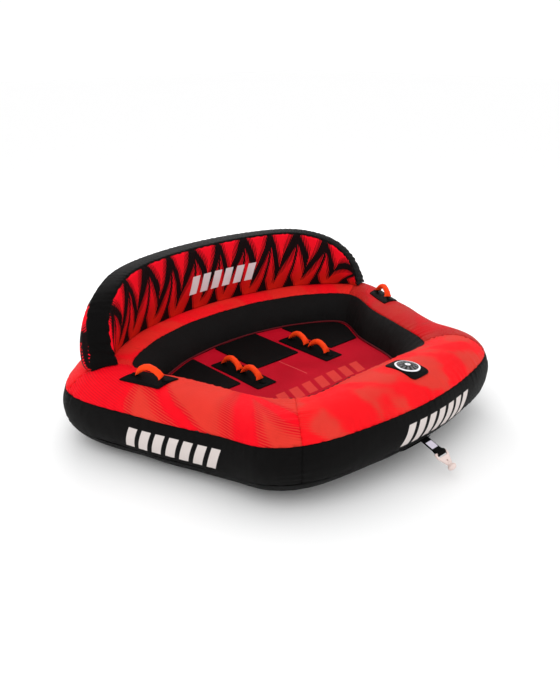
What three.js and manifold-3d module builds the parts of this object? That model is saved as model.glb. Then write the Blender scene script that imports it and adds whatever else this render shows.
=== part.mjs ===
// Three-rider towable tube: an oval-section inflatable ring with a sunken seat well, an inflatable backrest
// on its rear half, grab handles, a tow strap with a quick connector, valves and a rear cover zip.
// Millimetres, +Z up. The nose, where the tow rope pulls, points to -Y and the backrest is on the +Y side.
// The origin lies on the flat underside, in the middle of the seat well.
import * as THREE from 'three';
import { mergeVertices } from 'three/addons/utils/BufferGeometryUtils.js';
import Module from 'manifold-3d';

const wasm = await Module();
wasm.setup();

// ---- Ring plan: right half of the outlines, from the nose to the back, mirrored in X ----
const OUTER_KNOTS = [
  [0, -860], [300, -835], [590, -760], [745, -625], [800, -370],
  [945, 0], [1045, 405], [800, 690], [420, 825], [0, 870],
];
const INNER_KNOTS = [
  [0, -408], [140, -412], [320, -440], [400, -370], [470, -250],
  [540, 0], [645, 245], [440, 390], [220, 455], [0, 475],
];
const WELL_CENTRE = new THREE.Vector2(0, 20);
const RING_STEPS = 36; // two to each stretch between knots
const FRONT_SEAM = 5; // ring steps from the nose to the front corner seams
const BACK_SEAM = 12; // ring steps from the nose to the rear seams

// ---- Ring section ----
const TUBE_R = 190; // half the tube's height
const NOSE_RISE = 55; // the nose is turned up by this much
const ROCKER_START = 250; // the turn-up begins this far ahead of the origin
const ROCKER_END = 850;
const LOWER_SEAM = -30; // seam angles round the section: 0 is outward, 90 is up
const UPPER_SEAM = 26;
const RIM_SEAM = 122;
const FLOOR_EDGE = 174;
const COVER = 4; // cover cloth
const BLADDER = 4; // bladder wall
const GAP = 0.6; // between flat layers
const CURVED_GAP = 3; // between layers bent round the ring
const WELL_SPAN = 400; // section units from the well's centre to the ring's inner outline
const AXIS_OFFSET = TUBE_R + WELL_SPAN;
const PANEL_GAP = 0.0001; // of the ring's round, left open at each cover seam
const SEAM_TRIM = 0.1; // degrees of the section, left open along each long seam

// ---- Floor ----
const FLOOR_TOP = 208;
const FLOOR_THICK = 5;
const FLOOR_REACH = -196; // lateral place of the floor's edge
const FLOOR_BLADDER_REACH = -206;
const FLOOR_BLADDER_LOW = 16;
const FLOOR_VALVE_Y = -150;
const PIPING_R = 4;
const PAD_THICK = 6;
const SEAT_REACH = -207; // lateral place of the seats' outer edges, along the wall
const SIDE_SEAT = { inner: 314, front: 22, corner: 14 };
const MIDDLE_SEAT = { inner: -148, front: 98, corner: 14 };
const SEAT_PAST = 700; // how far a seat's outline runs on past the wall
const STRIP = { x: 235, y: 105, width: 120, length: 370, corner: 5 };

// ---- Handles ----
const ARCH_HALF_SPAN = 60;
const ARCH_RISE = 42;
const ARCH_POWER = 1.25; // over 1 draws the arch towards a tent
const ARCH_STAND = 8; // the arch flops about a line this far above its strip
const ARCH_STEPS = 12;
// Half sizes of the foam, which is pressed flat at its ends.
const GRIP = { end: 5, width: 15, height: 14.5, endWidth: 20, endHeight: 5 };
const WEBBING = { width: 18, thick: 3 };
const WEBBING_FIT = 0.5; // clearance round the webbing in its grip
const STRIP_HANDLE_Y = [188, 36];
const TUBE_HANDLE_STATION = 0.289; // share of the way round from the nose
const TUBE_HANDLE_ANGLE = 84.5;
const TUBE_PAD = { width: 200, length: 105, power: 8, stand: CURVED_GAP, thick: 5 };

// ---- Backrest ----
const BACK_ARC = 62 / 360; // share of the round on each side of the centre
const BACK_HALF_LENGTH = 965;
const BACK_RISE = 333;
const BACK_LONG_POWER = 5.5; // shape of the arched outline
const BACK_HIGH_POWER = 1.2;
const BACK_FRONT = -26; // lateral place of its front face on the tube
const BACK_THICK = 112;
const BACK_CROWN = 16; // how far each face bulges
const BACK_STEPS = 20;
const BACK_WALL = COVER + 2; // from its outer face to its bladder
const BACK_BLADDER = { inset: 12, reach: 0.985 };
const BACK_STAND = 2; // gap to the tube under its faces
const BACK_FOOT = 9; // the level underside between them stands this much higher
const BACK_TIP = 8; // height left at its two ends

// ---- Valves ----
const VALVE_STATION = 0.012; // just to the right of the nose's middle
const VALVE_ANGLE = 79;
const FLAP = { width: 104, length: 146, thick: 4, power: 4, dome: 9, stand: 1.6 };
const BADGE = { width: 98, length: 98, thick: 1.8, power: 2 };
const VALVE = { flange: 36, neck: 16, bore: 10, depth: 24, cap: 20, face: 3 };
const VALVE_HOLE = 42; // in the cover, round the flange
const VALVE_PORT = 18; // in the bladder wall
const FLOOR_PLUG = { radius: 8.4, depth: 16 };
const BACK_VALVE_HEIGHT = 166; // above the tube's crest, where the back face is upright

// ---- Tow strap and connector ----
const STRAP_WIDTH = 50;
const STRAP_THICK = 5;
const STRAP_LENGTH = 94; // seam to the middle of its eye
const STRAP_DROOP = 19;
const EYE = { outer: 12.5, inner: 8.2 };
const STRAP_LABEL = { size: 40, middle: 44, thick: 1 };
const CONNECTOR_DROOP = 32;
const CONNECTOR_THICK = 10;
const ROPE_HOLE = { radius: 4.5, y: 43 };
const ANCHOR_PATCH = { width: 130, length: 80, power: 6, stand: 1.5, thick: 3 };

// ---- Rear zip ----
const ZIP_ANGLE = 12;
const ZIP_TAPE = { halfAngle: 6, stand: 1, thick: 2 };
const ZIP_SLIDER = { width: 18, height: 12, thick: 5, stand: 4 };
const ZIP_PULL = { width: 9, length: 34, thick: 2, eye: 2 };
const ZIP_FROM = 16; // ring steps
const ZIP_TO = 20;
const ZIP_START = 0.5523; // station of the slider when the zip is shut

const { clamp, degToRad, radToDeg, lerp, smoothstep } = THREE.MathUtils;

// ---------------------------------------------------------------- solids
/** One closed body: shared vertices merged, no flat triangles, faces pointing out. */
function closed(geometry) {
  geometry.deleteAttribute('normal');
  geometry.deleteAttribute('uv');
  const merged = mergeVertices(geometry, 1e-3);
  const faces = [];
  const old = merged.index.array;
  for (let i = 0; i < old.length; i += 3) {
    const [a, b, c] = old.slice(i, i + 3);
    if (a !== b && b !== c && c !== a) faces.push(a, b, c);
  }
  merged.setIndex(volumeOf(merged, faces) < 0 ? faces.reverse() : faces);
  return merged;
}

function volumeOf(geometry, faces) {
  const { position } = geometry.attributes;
  const corner = faces.map((index) => new THREE.Vector3().fromBufferAttribute(position, index));
  let total = 0;
  for (let i = 0; i < corner.length; i += 3) {
    total += corner[i].dot(corner[i + 1].clone().cross(corner[i + 2]));
  }
  return total / 6;
}

function toSolid(geometry) {
  const vertProperties = new Float32Array(geometry.attributes.position.array);
  const triVerts = new Uint32Array(geometry.index.array);
  return new wasm.Manifold(new wasm.Mesh({ numProp: 3, vertProperties, triVerts }));
}

function fromSolid(solid) {
  const mesh = solid.getMesh();
  const geometry = new THREE.BufferGeometry();
  geometry.setAttribute('position', new THREE.BufferAttribute(mesh.vertProperties, 3));
  geometry.setIndex(new THREE.BufferAttribute(mesh.triVerts, 1));
  return geometry;
}

function cut(geometry, ...tools) {
  return fromSolid(tools.reduce((solid, tool) => solid.subtract(toSolid(tool)), toSolid(geometry)));
}

function join(...geometries) {
  return fromSolid(geometries.map(toSolid).reduce((a, b) => a.add(b)));
}

/** Moves every vertex of a straight or round blank to its place on the object. */
function bend(blank, place) {
  const position = blank.attributes.position;
  const vertex = new THREE.Vector3();
  for (let i = 0; i < position.count; i += 1) {
    const target = place(vertex.fromBufferAttribute(position, i));
    position.setXYZ(i, target.x, target.y, target.z);
  }
  return closed(blank);
}

/** A profile (lateral, height) that starts and ends on the well's middle, swept once round the ring. */
function disc(profile) {
  const points = profile.map((p) => new THREE.Vector2(Math.max(p.x + AXIS_OFFSET, 0), p.y));
  const blank = new THREE.LatheGeometry(points, RING_STEPS);
  const station = (v) => (Math.atan2(v.x, v.z) / (2 * Math.PI) + 1) % 1;
  return bend(blank, (v) => tubePoint(station(v), Math.hypot(v.x, v.z) - AXIS_OFFSET, v.y));
}

/** A closed profile clear of the well's middle, swept once round the ring. */
function hoop(profile) {
  return disc([...profile, profile[0]]);
}

/** A closed profile swept along part of a route: place(share of the way, profile x, profile y). */
function bar(profile, steps, place) {
  const blank = new THREE.ExtrudeGeometry(new THREE.Shape(profile), { depth: 1, steps, bevelEnabled: false });
  return bend(blank, (v) => place(v.z, v.x, v.y));
}

/** A lathe-turned solid about its local Z axis, from (radius, height) points. */
function turned(points, segments = 16) {
  const list = points.map(([radius, height]) => new THREE.Vector2(radius, height));
  return closed(new THREE.LatheGeometry(list, segments).rotateX(Math.PI / 2));
}

/** A rounded-rectangle pad between two heights, set down by place(x, y, height). Power rounds its corners. */
function pad({ width, length, power }, low, high, shares, place) {
  const under = shares.map((share) => new THREE.Vector2(share, low));
  const over = shares.map((share) => new THREE.Vector2(share, high)).reverse();
  const blank = new THREE.LatheGeometry([...under, ...over], 24);
  return bend(blank, (v) => {
    const share = Math.hypot(v.x, v.z);
    const angle = Math.atan2(v.z, v.x);
    const across = Math.abs(Math.cos(angle) / (width / 2)) ** power;
    const along = Math.abs(Math.sin(angle) / (length / 2)) ** power;
    const reach = share * (across + along) ** (-1 / power);
    return place(reach * Math.cos(angle), reach * Math.sin(angle), v.y);
  });
}

function tubePad(size, place) {
  return pad(size, size.stand, size.stand + size.thick, [0, 0.5, 1], place);
}

function roundedRectangle(width, length, radius) {
  const [x, y] = [width / 2 - radius, length / 2 - radius];
  const shape = new THREE.Shape();
  shape.absarc(x, -y, radius, -Math.PI / 2, 0);
  shape.absarc(x, y, radius, 0, Math.PI / 2);
  shape.absarc(-x, y, radius, Math.PI / 2, Math.PI);
  shape.absarc(-x, -y, radius, Math.PI, 1.5 * Math.PI);
  return shape;
}

function slab(shape, depth, curveSegments = 3) {
  return closed(new THREE.ExtrudeGeometry(shape, { depth, bevelEnabled: false, curveSegments }));
}

// ---------------------------------------------------------------- the ring's own space
function mirroredLoop(knots) {
  const right = knots.map(([x, y]) => new THREE.Vector3(x, y, 0));
  const left = knots.slice(1, -1).reverse().map(([x, y]) => new THREE.Vector3(-x, y, 0));
  return new THREE.CatmullRomCurve3([...right, ...left], true, 'catmullrom', 0.5);
}

const outerLine = mirroredLoop(OUTER_KNOTS);
const innerLine = mirroredLoop(INNER_KNOTS);

function rocker(y) {
  return NOSE_RISE * smoothstep(-y, ROCKER_START, ROCKER_END);
}

/** Station 0 is the nose, 0.5 the back. Lateral runs from -TUBE_R inside to TUBE_R outside, and inward of
    -TUBE_R it runs on to the middle of the well. Height is from the tube's core. */
function tubePoint(station, lateral, height) {
  const outer = outerLine.getPoint(station);
  const inner = innerLine.getPoint(station);
  const point = new THREE.Vector3();
  if (lateral >= -TUBE_R) {
    point.lerpVectors(inner, outer, (lateral / TUBE_R + 1) / 2);
  } else {
    const reach = 1 + (lateral + TUBE_R) / WELL_SPAN;
    point.set(lerp(WELL_CENTRE.x, inner.x, reach), lerp(WELL_CENTRE.y, inner.y, reach), 0);
  }
  point.z = TUBE_R + height + rocker(point.y);
  return point;
}

function polar(radius, degrees) {
  const angle = degToRad(degrees);
  return new THREE.Vector2(radius * Math.cos(angle), radius * Math.sin(angle));
}

/** Every angle at which the ring's layers have a corner, so that their facets nest. */
function sectionAngles() {
  const bottom = 270;
  const zones = [
    [LOWER_SEAM, UPPER_SEAM, 3], [UPPER_SEAM, RIM_SEAM, 5], [RIM_SEAM, FLOOR_EDGE, 3],
    [FLOOR_EDGE, bottom, 4], [bottom, LOWER_SEAM + 360, 3],
  ];
  const spread = ([from, to, count]) => Array.from({ length: count }, (_, i) => lerp(from, to, i / count));
  return zones.flatMap(spread);
}

function arcPoints(radius, from, to) {
  const inside = sectionAngles().filter((angle) => angle > from + 0.01 && angle < to - 0.01);
  return [from, ...inside, to].map((angle) => polar(radius, angle));
}

/** The section of one cover cloth, between two seams. */
function clothProfile(from, to) {
  return [...arcPoints(TUBE_R, from, to), ...arcPoints(TUBE_R - COVER, from, to).reverse()];
}

function clothPanel(from, to, firstStep, lastStep) {
  const start = firstStep / RING_STEPS + PANEL_GAP;
  const end = lastStep / RING_STEPS - PANEL_GAP;
  return bar(clothProfile(from + SEAM_TRIM, to - SEAM_TRIM), lastStep - firstStep, (share, x, y) => {
    const step = Math.round(share * (lastStep - firstStep)) + firstStep;
    return tubePoint((clamp(step / RING_STEPS, start, end) + 1) % 1, x, y);
  });
}

/** Sets a pad down on the tube: x runs along the tube, y inward over its crest, height off its surface. */
function onTube(station, degrees) {
  const speed = tubePoint(station + 0.005, 0, 0).distanceTo(tubePoint(station - 0.005, 0, 0)) / 0.01;
  return (x, y, height) => {
    const point = polar(TUBE_R + height, degrees + radToDeg(y / TUBE_R));
    return tubePoint((station + x / speed + 1) % 1, point.x, point.y);
  };
}

/** A frame on the tube's surface: X along the tube, Z out of the surface. */
function tubeFrame(station, degrees, height = 0) {
  const place = onTube(station, degrees);
  const origin = place(0, 0, height);
  const along = place(1, 0, height).sub(place(-1, 0, height)).normalize();
  const up = along.clone().cross(place(0, 1, height).sub(place(0, -1, height))).normalize();
  if (up.dot(place(0, 0, height + 1).sub(origin)) < 0) up.negate();
  const side = up.clone().cross(along);
  return new THREE.Matrix4().makeBasis(along, side, up).setPosition(origin);
}

// ---------------------------------------------------------------- meshes
const group = new THREE.Group();

function add(name, geometry, material, matrix) {
  const mesh = new THREE.Mesh(geometry, material);
  mesh.name = name;
  if (matrix) matrix.decompose(mesh.position, mesh.quaternion, mesh.scale);
  group.add(mesh);
}

function matter(color, roughness, metalness = 0) {
  return new THREE.MeshStandardMaterial({ color, roughness, metalness });
}

const redCloth = matter(0xe23a2e, 0.6);
const blackCloth = matter(0x17181a, 0.55);
const neoprene = matter(0x101112, 0.85);
const printCloth = matter(0xc0202a, 0.6);
const floorCloth = matter(0xc81a2c, 0.6);
const vinyl = matter(0x2c2e30, 0.5);
const orangeFoam = matter(0xff5a14, 0.7);
const webbing = matter(0x0c0c0d, 0.8);
const labelCloth = matter(0xe6e4ee, 0.7);
const whiteNylon = matter(0xefe4dc, 0.45);
const valvePlastic = matter(0x1c1d1f, 0.4);

function ringPieces() {
  const wall = TUBE_R - COVER - CURVED_GAP;
  const valveHole = new THREE.CylinderGeometry(VALVE_HOLE, VALVE_HOLE, 60, 24).rotateX(Math.PI / 2);
  const valvePort = new THREE.CylinderGeometry(VALVE_PORT, VALVE_PORT, 60, 24).rotateX(Math.PI / 2);
  const atValve = tubeFrame(VALVE_STATION, VALVE_ANGLE);
  const outside = hoop(sectionAngles().map((angle) => polar(wall, angle)));
  const inside = hoop(sectionAngles().map((angle) => polar(wall - BLADDER, angle)));
  add('main_bladder', cut(outside, inside, closed(valvePort.applyMatrix4(atValve))), vinyl);

  const back = RING_STEPS - BACK_SEAM;
  const front = RING_STEPS - FRONT_SEAM;
  const panels = [
    ['front', -FRONT_SEAM, FRONT_SEAM], ['right', FRONT_SEAM, BACK_SEAM],
    ['back', BACK_SEAM, back], ['left', back, front],
  ];
  for (const [side, from, to] of panels) {
    const top = clothPanel(UPPER_SEAM, RIM_SEAM, from, to);
    const opened = side === 'front' ? cut(top, closed(valveHole.applyMatrix4(atValve))) : top;
    add(`cover_top_${side}`, opened, redCloth);
    add(`side_band_${side}`, clothPanel(LOWER_SEAM, UPPER_SEAM, from, to), blackCloth);
  }
  add('well_wall', hoop(clothProfile(RIM_SEAM + SEAM_TRIM, FLOOR_EDGE)), neoprene);
}

function bottomPanel() {
  const seam = LOWER_SEAM + 360 - SEAM_TRIM;
  const bottom = 270;
  const reaches = [-AXIS_OFFSET, -AXIS_OFFSET + WELL_SPAN * 0.5, -TUBE_R];
  const under = reaches.map((lateral) => new THREE.Vector2(lateral, -TUBE_R));
  const above = reaches.map((lateral) => new THREE.Vector2(lateral, -TUBE_R + COVER)).reverse();
  const bilge = [...arcPoints(TUBE_R, bottom, seam), ...arcPoints(TUBE_R - COVER, bottom, seam).reverse()];
  add('bottom_panel', disc([...under, ...bilge, ...above]), blackCloth);
}

/** A flat-topped cushion that fills the well between two heights, out to a lateral place. */
function wellFill(low, high, reach, corner) {
  const mid = -AXIS_OFFSET + WELL_SPAN * 0.6;
  const edge = [[-AXIS_OFFSET, low], [mid, low], [reach - corner, low], [reach, low + corner]];
  const top = [[reach, high - corner], [reach - corner, high], [mid, high], [-AXIS_OFFSET, high]];
  return disc([...edge, ...top].map(([lateral, z]) => new THREE.Vector2(lateral, z - TUBE_R)));
}

function floorPieces() {
  const under = FLOOR_TOP - FLOOR_THICK;
  add('floor_panel', wellFill(under, FLOOR_TOP, FLOOR_REACH, 1), floorCloth);
  const [low, high] = [FLOOR_BLADDER_LOW, under - CURVED_GAP];
  const outside = wellFill(low, high, FLOOR_BLADDER_REACH, 20);
  const inside = wellFill(low + BLADDER, high - BLADDER, FLOOR_BLADDER_REACH - BLADDER, 18);
  const { radius, depth } = FLOOR_PLUG;
  const port = new THREE.CylinderGeometry(radius + GAP, radius + GAP, 20, 16).rotateX(Math.PI / 2);
  add('floor_bladder', cut(outside, inside, closed(port.translate(0, FLOOR_VALVE_Y, under))), vinyl);
  const plug = [[0, -depth], [radius, -depth], [radius, 0], [0, 0]];
  add('floor_valve', turned(plug), valvePlastic, new THREE.Matrix4().makeTranslation(0, FLOOR_VALVE_Y, high));
  const centre = new THREE.Vector2(FLOOR_REACH - 1, FLOOR_TOP + PIPING_R + GAP - TUBE_R);
  const ring = Array.from({ length: 5 }, (_, i) => polar(PIPING_R, 72 * i).add(centre));
  add('floor_piping', hoop(ring), redCloth);
}

function floorPad(name, { x, y, width, length, corner }, material, thick = PAD_THICK) {
  add(name, slab(roundedRectangle(width, length, corner), thick), material,
    new THREE.Matrix4().makeTranslation(x, y, FLOOR_TOP + GAP));
}

/** A seat from x = inner and y = front back to the well's wall, and out to x = outer or the wall. */
function seat(name, { inner, front, corner }, outer = SEAT_PAST) {
  const [low, high] = [FLOOR_TOP + GAP, FLOOR_TOP + GAP + PAD_THICK];
  const within = toSolid(wellFill(low, high, SEAT_REACH, 1));
  const shape = roundedRectangle(outer - inner, SEAT_PAST - front, corner);
  const block = slab(shape, 4 * PAD_THICK);
  block.translate((inner + outer) / 2, (front + SEAT_PAST) / 2, low - PAD_THICK);
  add(name, fromSolid(within.intersect(toSolid(block))), neoprene);
}

function seatPieces() {
  const { inner, front, corner } = SIDE_SEAT;
  seat('seat_pad_left', { inner: -SEAT_PAST, front, corner }, -inner);
  seat('seat_pad_middle', MIDDLE_SEAT, -MIDDLE_SEAT.inner);
  seat('seat_pad_right', SIDE_SEAT);
  floorPad('handle_strip_left', { ...STRIP, x: -STRIP.x }, webbing);
  floorPad('handle_strip_right', STRIP, webbing);
}

/** A point on an arch in the local XZ plane that stands on its two sewn ends. */
function archPoint(degrees) {
  const [cos, sin] = [Math.cos(degToRad(degrees)), Math.sin(degToRad(degrees))];
  const x = ARCH_HALF_SPAN * Math.sign(cos) * Math.abs(cos) ** ARCH_POWER;
  return new THREE.Vector3(x, 0, ARCH_RISE * sin ** ARCH_POWER);
}

/** A profile of (across, outward) points swept over the arch, scaled to size(share). */
function overArch(profile, endAngle, size) {
  return bar(profile, ARCH_STEPS, (share, across, outward) => {
    const degrees = lerp(180 - endAngle, endAngle, share);
    const way = archPoint(degrees - 0.5).sub(archPoint(degrees + 0.5)).normalize();
    const [width, height] = size(share);
    const out = new THREE.Vector3(-way.z, 0, way.x).multiplyScalar(outward * height);
    return archPoint(degrees).add(out).add(new THREE.Vector3(0, across * width, 0));
  });
}

function handle(name, matrix) {
  const round = Array.from({ length: 12 }, (_, i) => polar(1, 30 * i));
  const grip = overArch(round, GRIP.end, (share) => {
    const flat = (2 * share - 1) ** 4;
    return [lerp(GRIP.width, GRIP.endWidth, flat), lerp(GRIP.height, GRIP.endHeight, flat)];
  });
  const { width, thick } = WEBBING;
  const half = (room) => () => [width / 2 + room, thick / 2 + room];
  const tape = (endAngle, room) => overArch(rectangle(1, 1), endAngle, half(room));
  add(`${name}_grip`, cut(grip, tape(1, WEBBING_FIT)), orangeFoam, matrix);
  add(`${name}_webbing`, tape(2, 0), webbing, matrix);
}

function rectangle(halfWidth, halfHeight) {
  const corners = [[-1, -1], [1, -1], [1, 1], [-1, 1]];
  return corners.map(([x, y]) => new THREE.Vector2(x * halfWidth, y * halfHeight));
}

function handles() {
  const turn = new THREE.Matrix4().makeRotationZ(Math.PI / 2);
  const stripTop = FLOOR_TOP + GAP + PAD_THICK;
  for (const [side, sign] of [['left', -1], ['right', 1]]) {
    STRIP_HANDLE_Y.forEach((y, i) => {
      const place = new THREE.Matrix4().makeTranslation(sign * STRIP.x, y, stripTop + ARCH_STAND);
      handle(`floor_handle_${side}_${i + 1}`, place.multiply(turn));
    });
    const station = sign > 0 ? TUBE_HANDLE_STATION : 1 - TUBE_HANDLE_STATION;
    const top = TUBE_PAD.stand + TUBE_PAD.thick;
    add(`tube_handle_pad_${side}`, tubePad(TUBE_PAD, onTube(station, TUBE_HANDLE_ANGLE)), neoprene);
    handle(`tube_handle_${side}`, tubeFrame(station, TUBE_HANDLE_ANGLE, top + ARCH_STAND));
  }
}

// ---------------------------------------------------------------- backrest
/** Height of the arched outline above the tube's crest, at a length from the middle. */
function backRise(length, inset = 0) {
  const share = Math.min(Math.abs(length) / (BACK_HALF_LENGTH - inset), 1);
  return (BACK_RISE - inset) * (1 - share ** BACK_LONG_POWER) ** (1 / BACK_HIGH_POWER);
}

function backPoint(length, depth, height) {
  const station = 0.5 + (length / BACK_HALF_LENGTH) * BACK_ARC;
  const halfWidth = outerLine.getPoint(station).distanceTo(innerLine.getPoint(station)) / 2;
  const lateral = BACK_FRONT + (depth * TUBE_R) / halfWidth;
  const dip = TUBE_R - Math.sqrt(TUBE_R ** 2 - lateral ** 2);
  const crest = TUBE_R + BACK_STAND;
  return tubePoint(station, lateral, crest + height - dip * (1 - height / BACK_RISE));
}

const crown = (share) => BACK_CROWN * 4 * share * (1 - share);

/** Sweeps a (depth, share of height) profile along the backrest. Its bulge fades towards the low ends. */
function backSweep(profile, inset, reach, foot) {
  return bar(profile, BACK_STEPS, (share, x, y) => {
    const length = Math.sin((share - 0.5) * Math.PI) * (BACK_HALF_LENGTH - inset) * reach;
    const rise = Math.max(backRise(length, inset), foot + BACK_TIP);
    const fade = 1 - rise / BACK_RISE;
    const bulge = (x < BACK_THICK / 2 ? 1 : -1) * crown(y) * fade;
    return backPoint(length, x + bulge, foot + y * (rise - foot));
  });
}

function facePoints(depth, sign) {
  return [0, 0.25, 0.5, 0.75, 1].map((share) => new THREE.Vector2(depth + sign * crown(share), share));
}

function facePanel(depth, sign) {
  return [...facePoints(depth, sign), ...facePoints(depth + COVER, sign).reverse()];
}

function bladderProfile(wall) {
  return [...facePoints(wall, -1), ...facePoints(BACK_THICK - wall, 1).reverse()];
}

function gusset() {
  const outline = (share) => {
    const length = Math.sin((share - 0.5) * Math.PI) * BACK_HALF_LENGTH;
    return new THREE.Vector2(length, backRise(length));
  };
  const edge = COVER + CURVED_GAP;
  const corners = [[edge, 0], [BACK_THICK - edge, 0], [BACK_THICK - edge, COVER], [edge, COVER]];
  return bar(corners.map(([x, y]) => new THREE.Vector2(x, y)), 2 * BACK_STEPS, (share, x, y) => {
    const ahead = outline(Math.min(share + 0.002, 1)).sub(outline(Math.max(share - 0.002, 0))).normalize();
    const point = outline(share).add(new THREE.Vector2(ahead.y, -ahead.x).multiplyScalar(y));
    return backPoint(point.x, x, Math.max(point.y, BACK_FOOT));
  });
}

/** Set in the back face, so that +Z of the frame points backwards out of it. */
function backValveFrame(depth) {
  const share = BACK_VALVE_HEIGHT / BACK_RISE;
  const origin = backPoint(0, depth + crown(share), BACK_VALVE_HEIGHT);
  return new THREE.Matrix4().makeRotationX(-Math.PI / 2).setPosition(origin);
}

function backrest() {
  const bore = (radius) => {
    const tool = new THREE.CylinderGeometry(radius, radius, 50, 24).rotateX(Math.PI / 2);
    return closed(tool.applyMatrix4(backValveFrame(BACK_THICK)));
  };
  const { inset, reach } = BACK_BLADDER;
  const outside = backSweep(bladderProfile(BACK_WALL), inset, reach, BACK_FOOT);
  const hollow = bladderProfile(BACK_WALL + BLADDER);
  const inside = backSweep(hollow, inset + BLADDER, reach - 0.005, BACK_FOOT + BLADDER);
  add('backrest_bladder', cut(outside, inside, bore(VALVE_PORT)), vinyl);
  add('backrest_front_panel', backSweep(facePanel(0, -1), 0, 1, 0), printCloth);
  const back = backSweep(facePanel(BACK_THICK - COVER, 1), 0, 1, 0);
  add('backrest_back_panel', cut(back, bore(VALVE_HOLE)), printCloth);
  add('backrest_gusset', gusset(), blackCloth);
}

// ---------------------------------------------------------------- valves
function valve(name, matrix) {
  const { flange, neck, bore, depth, cap, face } = VALVE;
  const outside = [[bore, -depth], [neck, -depth], [neck, 0], [flange, 0], [flange, face]];
  add(`${name}_base`, turned([...outside, [bore, face], [bore, -depth]]), valvePlastic, matrix);
  const plug = bore - GAP;
  const seat = face + GAP;
  const top = seat + 6;
  const lid = [[0, -8], [plug, -8], [plug, seat], [cap, seat], [cap, top - 1.5], [cap - 2, top], [0, top]];
  add(`${name}_cap`, turned(lid), valvePlastic, matrix);
}

function valveCover() {
  const settle = onTube(VALVE_STATION, VALVE_ANGLE);
  const { width, length, power, dome, stand, thick } = FLAP;
  const place = (x, y, height) => {
    const share = (Math.abs(x / (width / 2)) ** power + Math.abs(y / (length / 2)) ** power) ** (1 / power);
    return settle(x, y, height + dome * (1 - Math.min(share, 1) ** 2) ** 1.5);
  };
  const top = stand + thick;
  add('valve_flap', pad(FLAP, stand, top, [0, 0.25, 0.5, 0.75, 1], place), neoprene);
  const low = top + 2 * GAP;
  add('valve_badge', pad(BADGE, low, low + BADGE.thick, [0, 0.5, 1], place), labelCloth);
}

function valves() {
  valve('main_valve', tubeFrame(VALVE_STATION, VALVE_ANGLE, -COVER - CURVED_GAP + GAP));
  valve('backrest_valve', backValveFrame(BACK_THICK - BACK_WALL + GAP));
  valveCover();
}

// ---------------------------------------------------------------- towing
/** Local X across the strap, Y forward along it and drooping, Z under it. */
function towFrame(droop, origin) {
  return new THREE.Matrix4().makeRotationX(Math.PI + degToRad(droop)).setPosition(origin);
}

function towing() {
  const start = tubePoint(0, ...polar(TUBE_R + STRAP_THICK / 2, LOWER_SEAM).toArray());
  const strapFrame = towFrame(STRAP_DROOP, start);
  const half = STRAP_THICK / 2;
  const open = Math.asin(half / EYE.outer);
  const side = new THREE.Shape([new THREE.Vector2(0, -half)]);
  side.absarc(STRAP_LENGTH, 0, EYE.outer, -Math.PI + open, Math.PI - open, false);
  side.lineTo(0, half);
  side.holes.push(new THREE.Path().absarc(STRAP_LENGTH, 0, EYE.inner, 0, 2 * Math.PI, true));
  const strap = slab(side, STRAP_WIDTH, 12);
  const upright = new THREE.Matrix4().set(0, 0, 1, -STRAP_WIDTH / 2, 1, 0, 0, 0, 0, 1, 0, 0, 0, 0, 0, 1);
  add('tow_strap', closed(strap.applyMatrix4(upright)), webbing, strapFrame);
  const { size, middle, thick } = STRAP_LABEL;
  const label = slab(roundedRectangle(size, size, 2), thick).translate(0, middle, -half - GAP - thick);
  add('strap_label', label, labelCloth, strapFrame);
  const eye = new THREE.Vector3(0, STRAP_LENGTH, 0).applyMatrix4(strapFrame);
  add('quick_connector', connector(), whiteNylon, towFrame(CONNECTOR_DROOP, eye));
  add('tow_anchor_patch', tubePad(ANCHOR_PATCH, onTube(0, LOWER_SEAM - 20)), webbing);
}

/** A flat frame whose rear bar turns in the strap's eye, and a knob for the rope's loop. */
function connector() {
  const outline = [[-36, -5], [36, -5], [38, 16], [19, 50], [14, 62], [-14, 62], [-19, 50], [-38, 16]];
  const slot = [[-29, 5], [-29, 14], [-24, 19], [24, 19], [29, 14], [29, 5]];
  const frame = new THREE.Shape(outline.map(([x, y]) => new THREE.Vector2(x, y)));
  frame.holes.push(new THREE.Path(slot.map(([x, y]) => new THREE.Vector2(x, y))));
  frame.holes.push(new THREE.Path().absarc(0, ROPE_HOLE.y, ROPE_HOLE.radius, 0, 2 * Math.PI, true));
  const knob = [[0, 54], [10, 55], [11, 66], [19, 70], [20, 77], [15, 86], [0, 90]];
  const turnedKnob = new THREE.LatheGeometry(knob.map(([r, y]) => new THREE.Vector2(r, y)), 16);
  return join(slab(frame, CONNECTOR_THICK, 6).translate(0, 0, -CONNECTOR_THICK / 2), closed(turnedKnob));
}

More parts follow.
